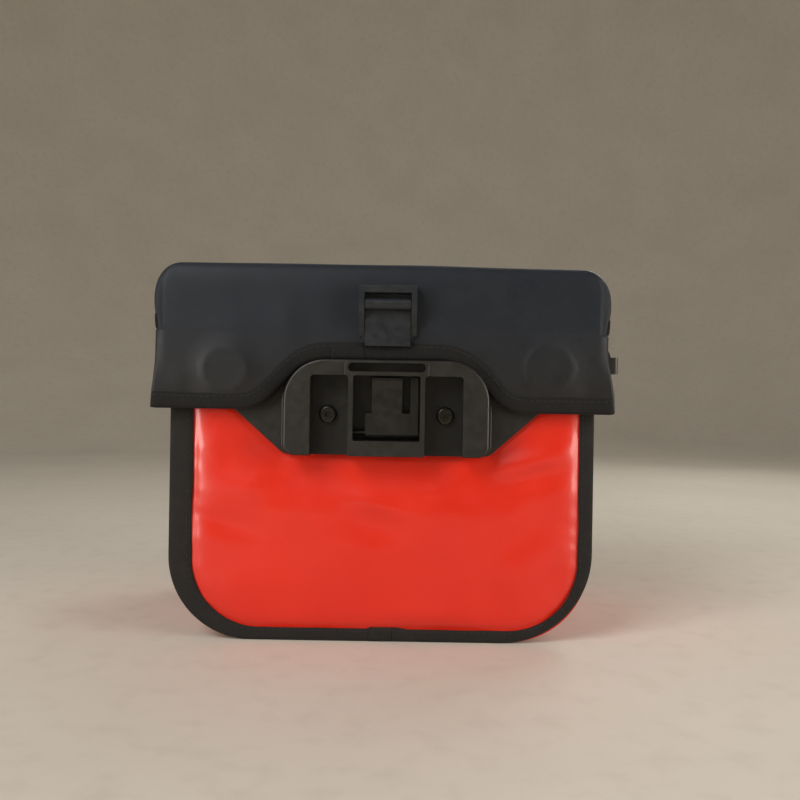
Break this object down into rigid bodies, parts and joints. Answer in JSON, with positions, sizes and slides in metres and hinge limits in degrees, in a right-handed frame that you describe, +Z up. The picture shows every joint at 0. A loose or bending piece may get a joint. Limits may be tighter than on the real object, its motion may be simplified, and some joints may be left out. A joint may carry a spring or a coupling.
{
  "type": "bicycle bag",
  "caption": "Boxy handlebar bag with a hinged lid, magnetic rear flap, bound seams and a moulded quick-release adapter on its rider side.",
  "frame": {"origin": "centre of the footprint, on the surface that the bag stands on", "axes": "+X across the bag, to the right seen from the rider; +Y forward, away from the rider; +Z up"},
  "size_m": [0.2534, 0.1598, 0.2065],
  "materials": {
    "coated_fabric_red": "coated, semi-gloss",
    "coated_fabric_charcoal": "coated, satin",
    "binding_tape": "woven",
    "black_plastic": "fine texture",
    "sheet_plastic": "smooth sheet",
    "steel": "zinc plated, the adapter screws and latch pin blackened",
    "magnet": "nickel plated",
    "aluminium_plate": "mill"
  },
  "bodies": {
    "bag": {"back_panel": "coated_fabric_red", "front_panel": "coated_fabric_red", "gusset_right": "coated_fabric_red", "gusset_left": "coated_fabric_red", "gusset_bottom": "coated_fabric_red", "back_seam_edge": "coated_fabric_red", "front_seam_edge": "coated_fabric_red", "strap_lug_right": "black_plastic", "strap_lug_left": "black_plastic", "back_binding": "binding_tape", "front_binding": "binding_tape", "mouth_hem": "binding_tape", "side_board": "sheet_plastic", "back_board": "sheet_plastic", "front_board": "sheet_plastic", "hinge_strip": "coated_fabric_charcoal", "base_plate": "black_plastic", "adapter_frame": "black_plastic", "latch_pin": "steel", "latch_spring": "steel", "backing_plate": "aluminium_plate", "adapter_screws": "steel", "adapter_nuts": "steel", "keeper_right": "steel", "keeper_left": "steel"},
    "latch": {"latch_lever": "black_plastic"},
    "lid": {"lid_cover": "coated_fabric_charcoal", "rear_flap": "coated_fabric_charcoal", "flap_binding": "binding_tape", "side_binding_right": "binding_tape", "side_binding_left": "binding_tape", "lid_board": "sheet_plastic", "magnet_right": "magnet", "magnet_left": "magnet", "magnet_patch_right": "coated_fabric_charcoal", "magnet_patch_left": "coated_fabric_charcoal", "pull_bracket": "black_plastic", "pull_pin": "steel", "bracket_backer": "black_plastic", "bracket_screws": "steel"},
    "pull": {"pull_tab": "black_plastic"}
  },
  "joints": [
    {"name": "lid_hinge", "type": "hinge", "parent": "bag", "child": "lid", "pos_m": [0, 0.08025, 0.1708], "axis": [-1, 0, 0], "range_deg": [0, 120]},
    {"name": "pull_swing", "type": "hinge", "parent": "lid", "child": "pull", "pos_m": [0, -0.0764, 0.1846], "axis": [-1, 0, 0], "range_deg": [0, 120]},
    {"name": "latch_pivot", "type": "hinge", "parent": "bag", "child": "latch", "pos_m": [0, -0.07135, 0.1154], "axis": [-1, 0, 0], "range_deg": [0, 6], "stiffness_Nm_per_rad": 0.6, "springref_deg": -8.59, "deforming": ["latch_spring"]}
  ]
}
